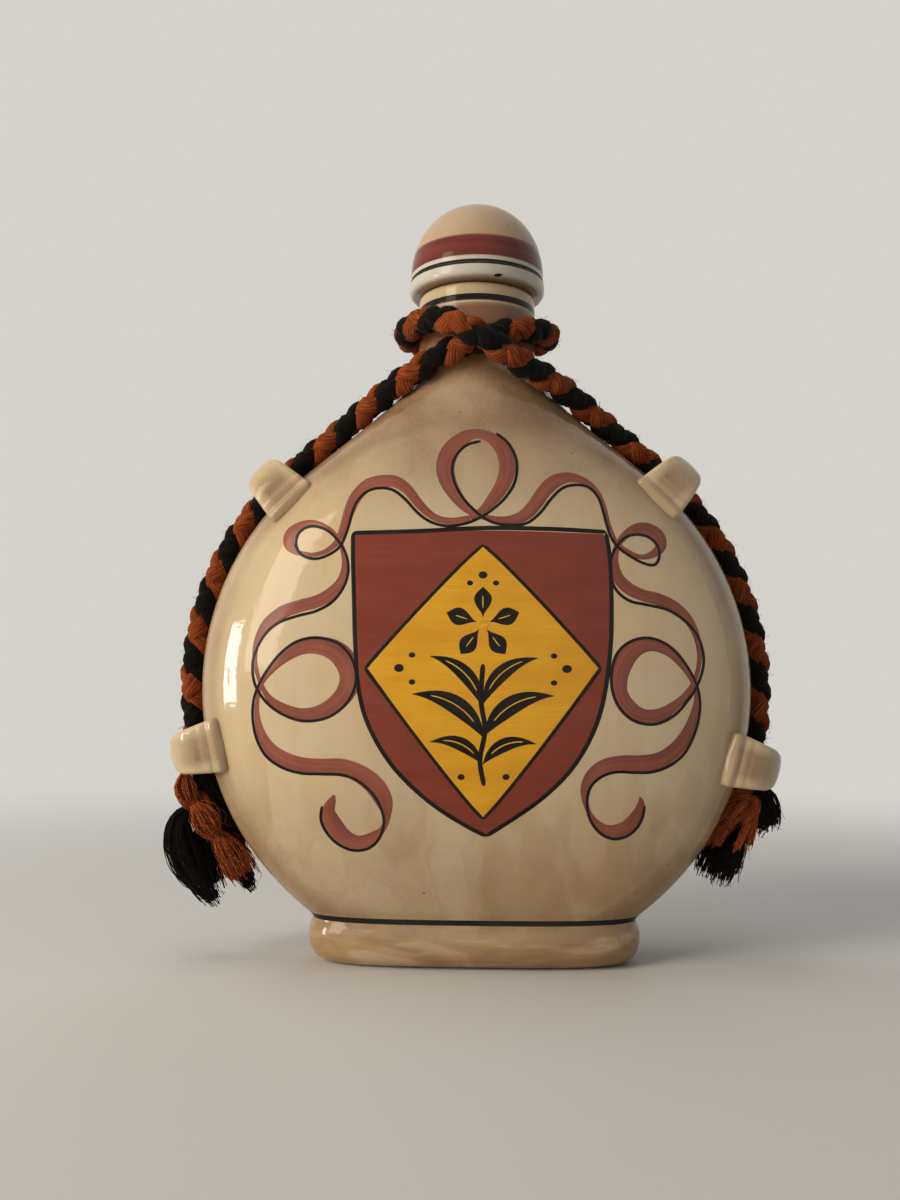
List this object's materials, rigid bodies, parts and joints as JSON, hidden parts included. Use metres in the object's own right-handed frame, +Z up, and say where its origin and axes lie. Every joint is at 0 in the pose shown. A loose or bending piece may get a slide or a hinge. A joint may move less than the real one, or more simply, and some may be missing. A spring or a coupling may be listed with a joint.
{
  "type": "ceramic bottle",
  "caption": "Glazed round pilgrim flask on an oval foot, with strap lugs, a braided carrying cord and a lift-out ceramic knob stopper on a cork.",
  "frame": {"origin": "centre of the oval foot's underside, on the surface the flask stands on", "axes": "+Z up through the neck and stopper, -Y is the painted front face, +X to the viewer's right when facing the front"},
  "size_m": [0.1878, 0.064, 0.2363],
  "materials": {
    "body_glaze": "gloss",
    "knob_glaze": "gloss",
    "cork": "matte",
    "yarn": "matte",
    "red_paint": "gloss",
    "yellow_paint": "gloss",
    "black_paint": "gloss"
  },
  "bodies": {
    "flask": {"bottle_body": "body_glaze", "lug_upper_left": "body_glaze", "lug_upper_right": "body_glaze", "lug_lower_left": "body_glaze", "lug_lower_right": "body_glaze", "carrying_cord": "yarn", "frayed_end_left": "yarn", "frayed_end_right": "yarn"},
    "stopper": {"stopper_head": "knob_glaze", "stopper_cork": "cork"}
  },
  "joints": [
    {"name": "stopper_pull", "type": "slide", "parent": "flask", "child": "stopper", "axis": [0, 0, 1], "range_m": [0, 0.05]}
  ]
}
